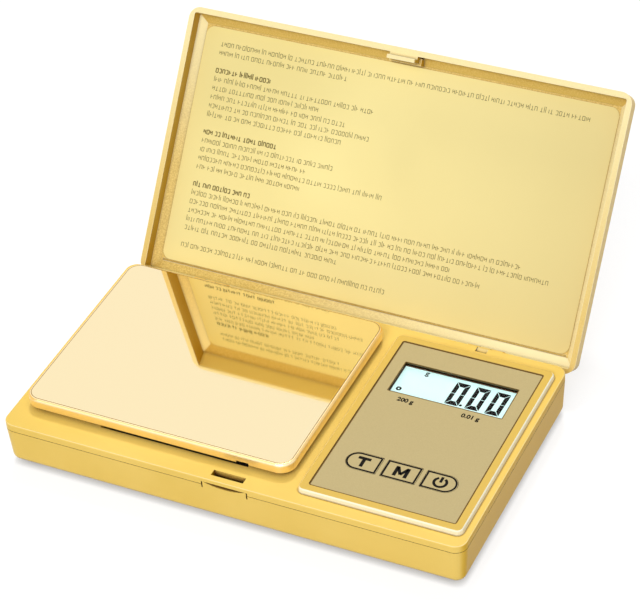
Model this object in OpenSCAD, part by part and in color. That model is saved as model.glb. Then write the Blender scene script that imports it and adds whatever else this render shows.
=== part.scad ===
// Digital pocket scale: a flat base with a sprung weighing tray and a raised display panel,
// closed by a hinged lid. The origin is the centre of the base outline on the resting plane.

/* [Case] */
// Width of the base and of the lid
case_w = 127; // [120:0.5:160]
// Depth of the base
case_d = 71; // [62:0.5:90]
// Height of the base without its feet
base_h = 12.9; // [12.9:0.1:16]
// Height of the top case's edge above the parting line
cover_h = 2.14; // [2:0.02:3]
// Height and depth of the shadow gap along the parting line
seam_h = 0.15; // [0.05:0.01:0.2]
seam_d = 0.5; // [0.3:0.05:0.8]
// Corner radius of the base outline
corner_r = 3.2; // [2.8:0.1:6]
// Wall thickness of the two case mouldings
wall_t = 1.6; // [1.4:0.1:2]
// Thickness of the bottom case's floor
floor_t = 1.4; // [1.3:0.1:2]
// Thickness of the top case's plate
plate_t = 1.6; // [1.4:0.1:1.8]
// Draft of the bottom case's sides, over their height
side_draft = 0.55; // [0.2:0.05:0.8]
// Rounding of the bottom edge
bottom_fillet = 2.2; // [1:0.1:2.3]
// Rounding of the top edge
edge_fillet = 0.35; // [0.2:0.05:0.6]

/* [Lid] */
// Height of the lid from its rim to its outer face
lid_h = 6.35; // [6:0.05:9]
// How far the lid reaches behind the base when it is shut
lid_overhang = 2.95; // [2.5:0.05:3.2]
// Width of the lid's rim
rim_w = 1.56; // [1.2:0.02:1.7]
// Depth of the upright inner wall below the rim
lid_wall_depth = 3.56; // [3:0.02:5]
// Run of the sloping band between the wall and the panel
slope_run = 2.25; // [1.5:0.01:3]
// Drop of the sloping band
slope_drop = 1.3; // [0.8:0.05:1.4]
// Angle between the shut and the open lid
open_angle = 126.5; // [90:0.5:127]
// Gap under the rim of the shut lid
lid_gap = 0.15; // [0.1:0.05:0.3]
// Draft and rounding of the lid's outer edge
lid_draft = 0.45; // [0.2:0.05:0.8]
lid_fillet = 1.5; // [0.8:0.1:2]
// Margins of the lid's label to the sides, the front and the hinge
label_side = 3.95; // [3.9:0.05:6]
label_front = 4.28; // [4:0.02:6]
label_rear = 4.55; // [4.5:0.05:6]
// Corner radius of the label
label_r = 2.4; // [0.5:0.1:4]
// Width and depth of the channel along the label's hinge side
channel_w = 0.6; // [0.4:0.05:0.8]
channel_t = 0.25; // [0.1:0.05:0.4]

/* [Hinge and latch] */
// Hinge axis behind the base and below its top face
hinge_back = 1.64; // [1.6:0.02:1.8]
hinge_drop = 2.56; // [2.5:0.02:2.8]
// Distance of each hinge from the middle
hinge_x = 40.05; // [30:0.05:50]
// Width of the lid's lug and of the knuckles beside it
lug_w = 2.9; // [2.5:0.1:4]
knuckle_w = 3.3; // [2.5:0.1:5]
// Extent of the lug in front of, behind and below the hinge axis
lug_front = 0.85; // [0.8:0.05:0.95]
lug_back = 1.25; // [1.1:0.05:1.3]
lug_heel = 3.6; // [3:0.1:3.6]
// Radius of the knuckles, and the distance of their bevel from the axis
knuckle_r = 1.3; // [1.2:0.05:1.5]
knuckle_bevel = 0.82; // [0.8:0.02:1]
// Diameter of the hinge pins
pin_d = 1; // [0.8:0.1:1]
// Width, thickness and reach beyond the rim of the lid's hook
hook_w = 7.9; // [6:0.1:9]
hook_t = 1; // [0.8:0.1:1.2]
hook_reach = 1.8; // [1.5:0.1:2.2]
// Distance of the hook from the lid's front edge
hook_inset = 2.4; // [2.3:0.1:3]
// Width of the flexible tongue in the front wall
tongue_w = 12; // [10:0.5:16]
// How far the tongue rises above the parting line
tongue_rise = 0.96; // [0.6:0.02:1.1]
// Depth of the fingernail scoop in the tongue
scoop_depth = 0.95; // [0.5:0.05:1]

/* [Weighing tray] */
// Height of the tray's top above the base's top face
tray_rise = 4.3; // [4:0.1:4.4]
// Margins of the tray to the left, front and rear edges of the base
tray_left = 3.25; // [3.2:0.05:6]
tray_front = 6.8; // [6.5:0.1:10]
tray_rear = 4.5; // [4:0.1:8]
// Gap between the tray and the display panel
tray_gap = 2.7; // [2:0.1:6]
// Height of the tray's skirt, its sheet thickness, corner radius and edge rounding
skirt_h = 2.7; // [2:0.1:3]
sheet_t = 0.7; // [0.5:0.1:0.8]
tray_r = 4; // [3:0.5:6]
tray_fillet = 0.8; // [0.4:0.1:1]
// Travel of the tray from rest to its overload stop
tray_travel = 0.3; // [0.2:0.05:0.4]

/* [Load cell] */
// Length, width and height of the bar
cell_l = 47; // [40:1:50]
cell_w = 12; // [10:0.5:13]
cell_h = 6; // [5:0.5:6]
// Radius of the two bores that weaken the bar, and their distance from the middle
flexure_r = 2.2; // [1.8:0.1:2.3]
flexure_y = 3.4; // [3:0.1:5]

/* [Display panel] */
// Width of the raised panel and its height above the top face
panel_w = 44.1; // [42:0.1:50]
panel_rise = 1.4; // [1.2:0.1:1.6]
// Margins of the raised panel to the right, front and rear edges of the base
panel_right = 1.7; // [1.7:0.1:4]
panel_front = 3.6; // [3.3:0.1:6]
panel_rear = 3.7; // [3.3:0.1:6]
// Width of the frame round the printed overlay, and its outer corner radius
frame_w = 2.5; // [2:0.1:3]
frame_r = 2; // [1.2:0.1:4]
// Corner radius of the overlay
overlay_r = 0.7; // [0.4:0.1:2]
// Thickness of the overlay and its depth below the frame
overlay_t = 0.5; // [0.4:0.05:0.5]
overlay_sink = 0.2; // [0.1:0.05:0.3]
// Width and depth of the display window
window_w = 31.1; // [28:0.1:32]
window_d = 11.8; // [10:0.1:13]
// Distance of the window from the overlay's rear edge
window_rear = 7.5; // [6:0.1:9]

/* [Keys] */
// Depth of a key, width of the end keys and of the middle key
key_d = 6.2; // [5:0.1:8]
key_end_w = 8.9; // [8:0.1:9.4]
key_mid_w = 9.2; // [8:0.1:9.4]
// Distance between key centres
key_pitch = 10.3; // [10:0.1:11]
// Distance of the keys from the overlay's front edge
key_front = 9.3; // [8:0.1:12]
// Travel of a key
key_travel = 0.2; // [0.1:0.05:0.25]

/* [Batteries] */
// Diameter and length of one battery
battery_d = 10.5; // [8.3:0.1:10.5]
battery_l = 44.5; // [40:0.5:44.5]
// Length of the compressed contact spring
contact_gap = 4.7; // [3:0.1:5]

/* [Clearances] */
// Radial clearance of a turning pin
pin_gap = 0.05; // [0.02:0.01:0.1]
// Clearance of a seated pin or screw
seat_gap = 0.02; // [0.01:0.01:0.05]
// Gap round a piece laid in its recess
lay_gap = 0.1; // [0.05:0.05:0.15]
// Clearance between mouldings that slide together
slip_gap = 0.15; // [0.1:0.05:0.3]

/* [Hidden] */
$fn = 96;
eps = 0.01;

// Heights above the resting plane
foot_h = 1;
z_floor = foot_h + floor_t;
z_top = foot_h + base_h;
z_part = z_top - cover_h;
z_plate = z_top - plate_t;
z_rim = z_top + lid_gap;
z_panel = z_top + panel_rise;
z_overlay = z_panel - overlay_sink;
z_ledge = z_overlay - overlay_t;
z_web = z_ledge - 1;

// Rounding of the bottom case's inner edge, which leaves a flat at its corners
inner_fillet = min(0.8, corner_r - wall_t - side_draft - 0.05);

// Raised panel, overlay, window and keys
panel_x1 = case_w / 2 - panel_right;
panel_x0 = panel_x1 - panel_w;
panel_y0 = -case_d / 2 + panel_front;
panel_y1 = case_d / 2 - panel_rear;
panel_d = panel_y1 - panel_y0;
panel_x = (panel_x0 + panel_x1) / 2;
panel_y = (panel_y0 + panel_y1) / 2;
overlay_w = panel_w - 2 * frame_w;
overlay_d = panel_d - 2 * frame_w;
window_y = panel_y + overlay_d / 2 - window_rear - window_d / 2;
key_y = panel_y - overlay_d / 2 + key_front + key_d / 2;
key_stem_r = 1.6;

// Weighing tray
tray_x0 = -case_w / 2 + tray_left;
tray_x1 = panel_x0 - tray_gap;
tray_y0 = -case_d / 2 + tray_front;
tray_y1 = case_d / 2 - tray_rear;
tray_x = (tray_x0 + tray_x1) / 2;
tray_y = (tray_y0 + tray_y1) / 2;
z_tray = z_top + tray_rise;
tray_notch_w = 3.4;
tray_notch_h = 0.55;
tray_notch_x = tray_x1 - 13;

// Battery bay along the left wall
bay_wall = 2.2;
bay_rib = 0.8;
battery_gap = 0.2;
bay_x0 = -case_w / 2 + bay_wall;
bay_w = 2 * battery_d + 3 * battery_gap;
bay_x1 = bay_x0 + bay_w;
bay_l = battery_l + contact_gap + 0.6;
battery_x = [bay_x0 + battery_gap + battery_d / 2, bay_x1 - battery_gap - battery_d / 2];
battery_z = z_floor - 0.1 + battery_d / 2;
battery_dir = [1, -1];
contact_t = 0.3;
contact_h = 6.2;
nub_l = 1;
nub_r = 1.9;
door_t = 1;
door_x0 = bay_x0 + 0.7;
door_x1 = bay_x1 - 0.1;
door_tongue_w = 4;
door_tongue_l = 2.1;
lead_tab_x = 3;
lead_r = 0.55;
lead_bend_r = 2;
lead_z = z_floor + 2.6;

// Opening under the tray, its carrier and the load cell
well_x0 = bay_x1 + bay_rib + 0.2;
well_x1 = tray_x1 - 12;
well_y = case_d / 2 - 7.7;
well_x = (well_x0 + well_x1) / 2;
carrier_gap = 0.8;
carrier_w = well_x1 - well_x0 - 2 * carrier_gap;
carrier_d = 2 * (well_y - carrier_gap);
carrier_t = 1.6;
pad_t = 0.5;
cell_x = tray_x;
cell_z0 = z_floor + 1.2;
cell_z1 = cell_z0 + cell_h;
cell_y0 = tray_y - cell_l / 2;
cell_y1 = tray_y + cell_l / 2;
cell_seat = 12;
carrier_z = cell_z1 + 1.4;
post_r = 3;
post_x = carrier_w / 2 - post_r - 3;
post_y = carrier_d / 2 - post_r - 3;
m3_r = 1.5;
m2_r = 1;
cell_screw_y = [3, 8.8];

// Circuit board and display
board_t = 1.2;
board_x0 = panel_x0 - 0.2;
board_x1 = panel_x1 - 3.2;
board_y = case_d / 2 - 6.5;
board_z1 = z_web - 4.2;
board_z0 = board_z1 - board_t;
glass_w = window_w + 5;
glass_d = window_d + 5;
glass_t = 1.8;
glass_z0 = z_web - 0.2 - glass_t;
light_h = glass_z0 - board_z1;
holder_t = 0.8;
switch_w = 6;
switch_h = 3.5;
board_holes = [
    [board_x0 + 1.9, -board_y + 2],
    [board_x0 + 1.9, board_y - 1.8],
    [board_x1 - 8.2, -board_y + 2],
    [board_x1 - 8.2, board_y - 1.8]
];

// Corner screws and feet
screw_x = case_w / 2 - 6.5;
screw_y = case_d / 2 - 6.5;
boss_r = 2.7;
boss_split = 8;
foot_r = 3.2;
foot_recess = 0.5;
head_seat = z_floor + 0.6;

// Hinge and latch in the closed lid's place
hinge_y = case_d / 2 + hinge_back;
hinge_z = z_top - hinge_drop;
pin_l = lug_w + 2 * knuckle_w + 2 * slip_gap - 0.2;
notch_w = lug_w + 2 * lay_gap;
notch_d = 2.1;
notch_z = hinge_z - lug_heel;
lug_mid = (lug_back - lug_front) / 2;
lug_end_r = (lug_back + lug_front) / 2;
lid_y1 = case_d / 2 + lid_overhang;
lid_d = case_d + lid_overhang;
lid_y = lid_y1 - lid_d / 2;
lid_floor = lid_wall_depth + slope_drop;
hook_y = -case_d / 2 + hook_inset;
slot_w = hook_w + 0.95;
slot_d = 2;
slot_y = hook_y + hook_t / 2 - 0.05;
lip_t = 1;
lip_h = 1.8;
label_t = 0.15;

gold = [0.93, 0.8, 0.41];
gold_panel = [0.89, 0.76, 0.36];
gold_tray = [0.98, 0.91, 0.72];
tan = [0.79, 0.71, 0.5];
steel = [0.72, 0.73, 0.75];
alloy = [0.8, 0.8, 0.82];
black = [0.12, 0.11, 0.1];
green = [0.1, 0.36, 0.2];

// Rounded rectangle with true arcs at its corners
module rounded_rect(w, d, r) {
    square([w, d - 2 * r], center = true);
    square([w - 2 * r, d], center = true);
    for (sx = [-1, 1], sy = [-1, 1])
        translate([sx * (w / 2 - r), sy * (d / 2 - r)]) circle(r);
}

module rounded_plate(w, d, h, r) {
    linear_extrude(h) rounded_rect(w, d, r);
}

// Half section of a moulded block: x runs outward from the corner's centre, y up from the small end
module block_section(h, r, draft, fillet) {
    foot = r - draft - fillet;
    polygon([[0, 0], [foot, 0], [foot, fillet], [r - draft, fillet], [r, h], [0, h]]);
    intersection() {
        translate([foot, fillet]) circle(fillet);
        translate([foot, 0]) square(fillet);
    }
}

// Block with rounded corners, drafted sides and a rounded edge round its small end at z = 0
module moulded_block(w, d, h, r, draft, fillet) {
    for (turn = [0 : 3]) {
        along = turn % 2 == 0 ? w / 2 - r : d / 2 - r;
        across = turn % 2 == 0 ? d / 2 - r : w / 2 - r;
        rotate(90 * turn) translate([along, across, 0]) {
            rotate_extrude(angle = 90) block_section(h, r, draft, fillet);
            rotate([90, 0, 0]) linear_extrude(2 * across) block_section(h, r, draft, fillet);
        }
    }
    translate([r - w / 2, r - d / 2, 0]) cube([w - 2 * r, d - 2 * r, h]);
}

// Carries its children to each corner given by a distance in x and y
module at_corners(x, y) {
    for (sx = [-1, 1], sy = [-1, 1]) translate([sx * x, sy * y, 0]) children();
}

// Round bar along X
module bar_x(r, l) {
    rotate([0, 90, 0]) cylinder(r = r, h = l, center = true);
}

// Cylinder from z0 to z1
module post(r, z0, z1) {
    translate([0, 0, z0]) cylinder(r = r, h = z1 - z0);
}

// Box from its low corner to its high corner
module box(low, high) {
    translate(low) cube(high - low);
}

// Screw with its seat at z = 0, its shank upward and a cross recess in its head
module pan_screw(r, head_r, head_h, length) {
    difference() {
        union() {
            post(r, -head_h / 2, length);
            post(head_r, -head_h, 0);
        }
        translate([0, 0, -head_h]) cross_recess(head_r, 0.4);
    }
}

module cross_recess(w, slot) {
    cube([w, slot, 1], center = true);
    cube([slot, w, 1], center = true);
}

// Carries its children from the closed lid's place to the open one
module opened() {
    translate([0, hinge_y, hinge_z]) rotate([-open_angle, 0, 0])
        translate([0, -hinge_y, -hinge_z]) children();
}

// Knuckle pair with its bracket and the sloping stop that the open lid rests against
module hinge_bracket() {
    for (side = [-1, 1]) {
        x = side * (lug_w / 2 + slip_gap + knuckle_w / 2);
        translate([hinge_x + x, 0, 0]) {
            translate([0, hinge_y, hinge_z]) difference() {
                bar_x(knuckle_r, knuckle_w);
                rotate([-45, 0, 0]) translate([0, 0, knuckle_bevel + 1])
                    cube([knuckle_w + 1, 4, 2], center = true);
            }
            rotate([90, 0, 90]) linear_extrude(knuckle_w, center = true) polygon([
                [case_d / 2 - wall_t, foot_h + 3.4],
                [hinge_y + 2.55, hinge_z - 3.72],
                [hinge_y + 1.27, hinge_z - 2.78],
                [hinge_y, hinge_z],
                [case_d / 2, hinge_z],
                [case_d / 2 - wall_t, z_part]
            ]);
        }
    }
}

module bottom_case() {
    tub_h = z_part - foot_h;
    front = -case_d / 2;
    color(gold) difference() {
        union() {
            difference() {
                translate([0, 0, foot_h])
                    moulded_block(case_w, case_d, tub_h, corner_r, side_draft, bottom_fillet);
                translate([0, 0, z_floor])
                    moulded_block(case_w - 2 * wall_t, case_d - 2 * wall_t, tub_h - floor_t + 0.2,
                        corner_r - wall_t, side_draft, inner_fillet);
            }
            // Battery bay: two end ribs and one rib beside the batteries
            for (side = [-1, 1])
                translate([-case_w / 2 + wall_t / 2, side > 0 ? bay_l / 2 : -bay_l / 2 - 1, z_floor - eps])
                    cube([bay_x1 + bay_rib + case_w / 2 - wall_t / 2, 1, z_part - z_floor]);
            box([bay_x1, -bay_l / 2, z_floor - eps], [bay_x1 + bay_rib, bay_l / 2, z_part]);
            for (x = [door_x0 - 0.4, door_x1 - 1.6], side = [-1, 1])
                translate([x, side * (bay_l / 2 - 0.75), z_floor - 0.35 + 0.4])
                    cube([2 * 2, 1.5, 0.8], center = true);
            // Screw bosses, board posts and the load cell's seat
            at_corners(screw_x, screw_y) post(boss_r, foot_h + 0.5, boss_split);
            for (p = board_holes) translate(p) post(2.2, z_floor - eps, board_z0);
            box([cell_x - cell_w / 2, cell_y1 - cell_seat, z_floor - eps],
                [cell_x + cell_w / 2, cell_y1, cell_z0]);
            // Flexible tongue with the catch behind it
            box([-tongue_w / 2, front, z_part - eps], [tongue_w / 2, front + wall_t, z_part + tongue_rise]);
            box([-2.45, front + wall_t / 2, z_part - 2.4], [2.45, front + 2.3, z_plate - 0.1]);
            box([-2.45, slot_y - slot_d / 2 + 0.05, z_plate - 0.1 - eps],
                [2.45, slot_y - slot_d / 2 + 0.35, z_top - 0.4]);
            // Hinge brackets, and the pockets that close the notches on the inside
            for (side = [-1, 1]) mirror([side > 0 ? 0 : 1, 0, 0]) {
                hinge_bracket();
                box([hinge_x - notch_w / 2 - 1.2, case_d / 2 - notch_d - 1.2, z_floor],
                    [hinge_x + notch_w / 2 + 1.2, case_d / 2 - wall_t / 2, z_part]);
            }
        }
        // Hinge notches, pin bores and room for the top case's edge
        for (side = [-1, 1]) mirror([side > 0 ? 0 : 1, 0, 0]) {
            box([hinge_x - notch_w / 2, case_d / 2 - notch_d, notch_z],
                [hinge_x + notch_w / 2, case_d / 2 + 1, z_part + 1]);
            translate([hinge_x, hinge_y, hinge_z]) bar_x(pin_d / 2 + seat_gap, 20);
            box([hinge_x - 8, case_d / 2 - 2, z_part], [hinge_x + 8, case_d / 2 + 0.1, z_top]);
        }
        // Slits beside the tongue, and the fingernail scoop in it
        for (side = [-1, 1]) translate([side * (tongue_w / 2 + 0.175), front + wall_t / 2, z_part])
            cube([0.35, wall_t + 1, 2], center = true);
        translate([0, front + 1, z_part + tongue_rise - scoop_depth + scoop_r(tongue_w - 0.7, scoop_depth)])
            rotate([90, 0, 0]) cylinder(r = scoop_r(tongue_w - 0.7, scoop_depth), h = 3, $fn = 180);
        // Door opening, its tongue's slot and the finger recess in front of it
        box([door_x0, -bay_l / 2, foot_h - 1], [door_x1, bay_l / 2, z_floor - 0.35]);
        box([door_x0, -bay_l / 2 + 1.5, foot_h], [door_x1, bay_l / 2 - 1.5, z_floor + 1]);
        box([bay_x(0.5) - door_tongue_w / 2 - 0.3, bay_l / 2 - 2, foot_h],
            [bay_x(0.5) + door_tongue_w / 2 + 0.3, bay_l / 2, z_floor + 1]);
        box([bay_x(0.5) - door_tongue_w / 2 - 0.3, bay_l / 2 - 2, z_floor],
            [bay_x(0.5) + door_tongue_w / 2 + 0.3, bay_l / 2 + 3, z_floor + 2.2]);
        translate([bay_x(0.5), -bay_l / 2, foot_h - 6.2]) sphere(7);
        // Slots of the battery terminals, seats and holes of the screws and feet
        for (x = battery_x) translate([x + lead_tab_x, -bay_l / 2 - 0.5, lead_z])
            cube([1.6, 2, 0.5], center = true);
        at_corners(screw_x, screw_y) {
            post(foot_r + 0.05, 0, foot_h + foot_recess);
            post(2.05, 0, head_seat);
            post(m2_r + 0.2, 0, boss_split + 1);
        }
        for (p = board_holes) translate(p) post(m2_r + seat_gap, z_floor + 1, board_z0 + 1);
        for (y = cell_screw_y) translate([cell_x, cell_y1 - y, 0]) {
            post(m3_r + 0.1, 0, cell_z0 + 1);
            translate([0, 0, foot_h - eps]) cylinder(r1 = 2.85, r2 = m3_r + 0.1, h = 1.3);
        }
        translate([cell_x, cell_y0 + 3, 0]) post(m3_r + seat_gap, 0, cell_z0);
    }
}

function scoop_r(chord, depth) = (chord * chord / 4 + depth * depth) / (2 * depth);
function bay_x(share) = bay_x0 + share * bay_w;

module top_case() {
    front = -case_d / 2;
    lip_w = case_w - 2 * wall_t - 2 * slip_gap - 0.3;
    lip_d = case_d - 2 * wall_t - 2 * slip_gap - 0.3;
    color(gold) difference() {
        union() {
            difference() {
                translate([0, 0, z_top]) mirror([0, 0, 1])
                    moulded_block(case_w, case_d, cover_h, corner_r, 0, edge_fillet);
                translate([0, 0, z_part - 1])
                    rounded_plate(case_w - 2 * wall_t, case_d - 2 * wall_t, z_plate - z_part + 1,
                        corner_r - wall_t);
            }
            // Locating lip inside the bottom case's wall
            translate([0, 0, z_plate - lip_h]) difference() {
                rounded_plate(lip_w, lip_d, lip_h + eps, 1.2);
                translate([0, 0, -1]) rounded_plate(lip_w - 2 * lip_t, lip_d - 2 * lip_t, lip_h + 1, 0.6);
                for (side = [-1, 1])
                    translate([side * hinge_x, lip_d / 2, 0]) cube([notch_w + 3, 6, 8], center = true);
                translate([0, -lip_d / 2, 0]) cube([tongue_w + 3, 6, 8], center = true);
                for (side = [-1, 1])
                    translate([-lip_w / 2, side * (bay_l / 2 + 0.5), 0]) cube([6, 1.4, 8], center = true);
            }
            at_corners(screw_x, screw_y) post(boss_r, boss_split + 0.1, z_plate + eps);
            // Raised frame round the overlay
            translate([panel_x, panel_y, z_panel]) mirror([0, 0, 1])
                moulded_block(panel_w, panel_d, panel_rise + plate_t / 2, frame_r, 0.3, 0.5);
        }
        // Shadow gap along the parting line
        translate([0, 0, z_part - eps]) linear_extrude(seam_h + eps) difference() {
            square([case_w + 1, case_d + 1], center = true);
            rounded_rect(case_w - 2 * seam_d, case_d - 2 * seam_d, corner_r - seam_d);
        }
        // Recess of the overlay, room under it, and the window with its rebate
        translate([panel_x, panel_y, z_ledge]) rounded_plate(overlay_w, overlay_d, 3, overlay_r);
        translate([panel_x, panel_y, z_part - 1])
            rounded_plate(overlay_w - 0.6, overlay_d - 0.6, z_web - z_part + 1, 1);
        translate([panel_x, window_y, 0]) {
            box([-window_w / 2, -window_d / 2, z_web - 1], [window_w / 2, window_d / 2, z_ledge + 1]);
            box([-window_w / 2 - 0.8, -window_d / 2 - 0.8, z_ledge - 0.6],
                [window_w / 2 + 0.8, window_d / 2 + 0.8, z_ledge + 1]);
        }
        // Pockets and stem holes of the keys
        for (i = [-1 : 1]) translate([panel_x + i * key_pitch, key_y, 0]) {
            translate([0, 0, z_ledge - key_travel - 0.1]) key_outline(i, lay_gap, 2);
            post(key_stem_r + 0.3, z_web - 1, z_ledge + 1);
        }
        // Opening under the tray, hollows over the batteries, latch slot and hinge notches
        box([well_x0, -well_y, z_part - 3], [well_x1, well_y, z_top + 1]);
        for (x = battery_x) translate([x, 0, battery_z]) rotate([90, 0, 0])
            cylinder(r = battery_d / 2 + 0.1, h = bay_l, center = true);
        translate([0, slot_y, z_top]) cube([slot_w, slot_d, 6], center = true);
        for (side = [-1, 1])
            translate([side * hinge_x, case_d / 2, z_top]) cube([notch_w, 2 * notch_d, 8], center = true);
        // Notch of the front tongue, pilot holes of the corner screws
        translate([0, front, z_part])
            cube([tongue_w + 0.7, 2 * wall_t + 0.2, 2 * tongue_rise + 0.1], center = true);
        at_corners(screw_x, screw_y) post(m2_r + seat_gap, 0, z_plate - 1);
    }
}

module battery_door() {
    tongue_x = bay_x(0.5);
    w = door_x1 - door_x0 - 2 * slip_gap;
    l = bay_l - 2 * slip_gap;
    color(gold) difference() {
        union() {
            translate([(door_x0 + door_x1) / 2, 0, foot_h]) rounded_plate(w, l, door_t, 0.5);
            box([tongue_x - door_tongue_w / 2, l / 2 - 1.3, foot_h],
                [tongue_x + door_tongue_w / 2, l / 2, z_floor + 0.9]);
            box([tongue_x - door_tongue_w / 2, l / 2 - 1.3, z_floor + 0.1],
                [tongue_x + door_tongue_w / 2, l / 2 + door_tongue_l, z_floor + 0.9]);
        }
        // Grip grooves at the finger end
        for (i = [0 : 4])
            translate([tongue_x, -l / 2 + 2.5 + 1.3 * i, foot_h]) cube([9, 0.6, 0.6], center = true);
    }
}

// One battery: can, shoulder and positive nub, standing along Y towards dir
module battery(i) {
    body_l = battery_l - nub_l;
    start = battery_dir[i] * (bay_l / 2 - contact_t - 0.05);
    translate([battery_x[i], start, battery_z]) rotate([battery_dir[i] * 90, 0, 0]) {
        post(nub_r, 0, nub_l + 0.1);
        translate([0, 0, nub_l]) rotate_extrude()
            polygon([[0, 0], [3.9, 0], [battery_d / 2 - 0.25, 0.25], [battery_d / 2, 0.8],
                [battery_d / 2, body_l - 0.5], [battery_d / 2 - 0.5, body_l], [0, body_l]]);
    }
}

module battery_left() {
    color([0.2, 0.22, 0.26]) battery(0);
}

module battery_right() {
    color([0.2, 0.22, 0.26]) battery(1);
}

// Bowed leaf of a contact, standing towards -Y from its plate
module contact_bow() {
    half = contact_h / 2 - 0.3;
    reach = contact_gap - 0.1;
    r = (half * half + reach * reach) / (2 * reach);
    rotate([90, 0, 90]) linear_extrude(4, center = true) difference() {
        translate([-reach + r, 0]) circle(r);
        translate([-reach + r, 0]) circle(r - contact_t);
        translate([0, -contact_h]) square([2 * r, 2 * contact_h]);
    }
}

module contact_plate(x, w) {
    translate([x, -contact_t / 2, 0]) cube([w, contact_t, contact_h], center = true);
}

module bridge_contact() {
    color(steel) translate([0, bay_l / 2 - eps, battery_z]) {
        contact_plate((battery_x[0] + battery_x[1]) / 2, battery_x[1] - battery_x[0] + 7.5);
        translate([battery_x[1], -contact_t + eps, 0]) contact_bow();
    }
}

module terminal_contacts() {
    color(steel) translate([0, -bay_l / 2 + eps, battery_z]) mirror([0, 1, 0]) {
        for (x = battery_x) {
            contact_plate(x, 7.5);
            translate([x + lead_tab_x, 0.6, lead_z - battery_z]) cube([1.4, 1.2, 0.3], center = true);
        }
        translate([battery_x[0], -contact_t + eps, 0]) contact_bow();
    }
}

module load_cell() {
    color(alloy) difference() {
        box([cell_x - cell_w / 2, cell_y0, cell_z0], [cell_x + cell_w / 2, cell_y1, cell_z1]);
        translate([cell_x, tray_y, (cell_z0 + cell_z1) / 2]) {
            for (side = [-1, 1]) translate([0, side * flexure_y, 0]) bar_x(flexure_r, cell_w + 1);
            cube([cell_w + 1, 2 * flexure_y, 1.2], center = true);
        }
        for (y = cell_screw_y) {
            translate([cell_x, cell_y1 - y, 0]) post(m3_r + seat_gap, cell_z0 - 1, cell_z1 + 1);
            translate([cell_x, cell_y0 + y, 0]) post(m3_r + seat_gap, cell_z0 - 1, cell_z1 + 1);
        }
    }
}

module gauge_covers() {
    color([0.92, 0.92, 0.9]) translate([cell_x, tray_y, 0]) {
        translate([0, 0, cell_z1]) rounded_plate(cell_w - 1, 15, 0.6, 1.5);
        translate([0, 0, cell_z0 - 0.6]) rounded_plate(cell_w - 1, 15, 0.6, 1.5);
    }
}

module cell_screws() {
    color(steel) for (y = cell_screw_y) translate([cell_x, cell_y1 - y, foot_h + 0.1]) difference() {
        union() {
            cylinder(r1 = 2.65, r2 = m3_r, h = 1.2);
            cylinder(r = m3_r, h = cell_z0 + 4.8 - foot_h);
        }
        cross_recess(2.4, 0.5);
    }
}

module overload_screw() {
    color(steel) translate([cell_x, cell_y0 + 3, foot_h + 0.3]) difference() {
        cylinder(r = m3_r, h = cell_z0 - foot_h - 0.3 - tray_travel - 0.05);
        cube([4, 0.6, 1], center = true);
    }
}

module tray_carrier() {
    top = z_tray - sheet_t - pad_t;
    color(black) difference() {
        union() {
            translate([well_x, 0, carrier_z]) rounded_plate(carrier_w, carrier_d, carrier_t, 3);
            translate([well_x, 0, 0]) at_corners(post_x, post_y) post(post_r, carrier_z, top);
            // Ribs between the posts
            for (side = [-1, 1]) {
                translate([well_x + side * post_x, 0, carrier_z + carrier_t + 0.9])
                    cube([1.2, 2 * post_y, 2], center = true);
                translate([well_x, side * post_y, carrier_z + carrier_t + 0.9])
                    cube([2 * post_x, 1.2, 2], center = true);
            }
            box([cell_x - cell_w / 2, cell_y0, cell_z1],
                [cell_x + cell_w / 2, cell_y0 + cell_seat, carrier_z + eps]);
        }
        for (y = cell_screw_y) translate([cell_x, cell_y0 + y, 0]) {
            post(m3_r + 0.1, cell_z1 - 1, carrier_z + 5);
            post(3.1, carrier_z + carrier_t, carrier_z + 5);
        }
    }
}

module carrier_screws() {
    color(steel) for (y = cell_screw_y)
        translate([cell_x, cell_y0 + y, carrier_z + carrier_t]) mirror([0, 0, 1])
            pan_screw(m3_r, 2.7, 1.7, carrier_z + carrier_t - cell_z0 - 1);
}

module tray_pads() {
    color([0.85, 0.85, 0.82]) translate([well_x, 0, z_tray - sheet_t - pad_t])
        at_corners(post_x, post_y) cylinder(r = post_r - 0.2, h = pad_t);
}

module weighing_tray() {
    w = tray_x1 - tray_x0;
    d = tray_y1 - tray_y0;
    color(gold_tray) translate([tray_x, tray_y, 0]) difference() {
        translate([0, 0, z_tray]) mirror([0, 0, 1]) moulded_block(w, d, skirt_h, tray_r, 0, tray_fillet);
        translate([0, 0, z_tray - skirt_h - 1])
            rounded_plate(w - 2 * sheet_t, d - 2 * sheet_t, skirt_h + 1 - sheet_t, tray_r - sheet_t);
        translate([tray_notch_x - tray_x, -d / 2, z_tray - skirt_h])
            cube([tray_notch_w, 3, 2 * tray_notch_h], center = true);
    }
}

module circuit_board() {
    color(green) difference() {
        box([board_x0, -board_y, board_z0], [board_x1, board_y, board_z1]);
        at_corners(screw_x, screw_y) post(boss_r + 0.5, 0, z_top);
        for (p = board_holes) translate(p) post(m2_r + 0.15, 0, z_top);
    }
}

// Chip under its resin cap, crystal, capacitors and connector, all under the board
module board_parts() {
    color(black) translate([board_x0, 0, board_z0]) mirror([0, 0, 1]) {
        translate([24, 2, 0]) intersection() {
            translate([0, 0, -8.4]) sphere(10);
            cylinder(r = 5.4, h = 3);
        }
        translate([12, 14, 0]) rounded_plate(3.6, 8, 2.4, 1.7);
        for (p = [[10, -6], [10, -9], [14, -6], [34, -4], [34, -7], [30, -10]])
            translate([p[0] - 1, p[1] - 0.6, 0]) cube([2, 1.2, 0.9]);
        translate([33, 14, 0]) cylinder(r = 2.5, h = 3.6);
    }
}

module board_screws() {
    color(steel) for (p = board_holes)
        translate([p[0], p[1], board_z1]) mirror([0, 0, 1]) pan_screw(m2_r, 1.75, 1.2, 5);
}

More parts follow.
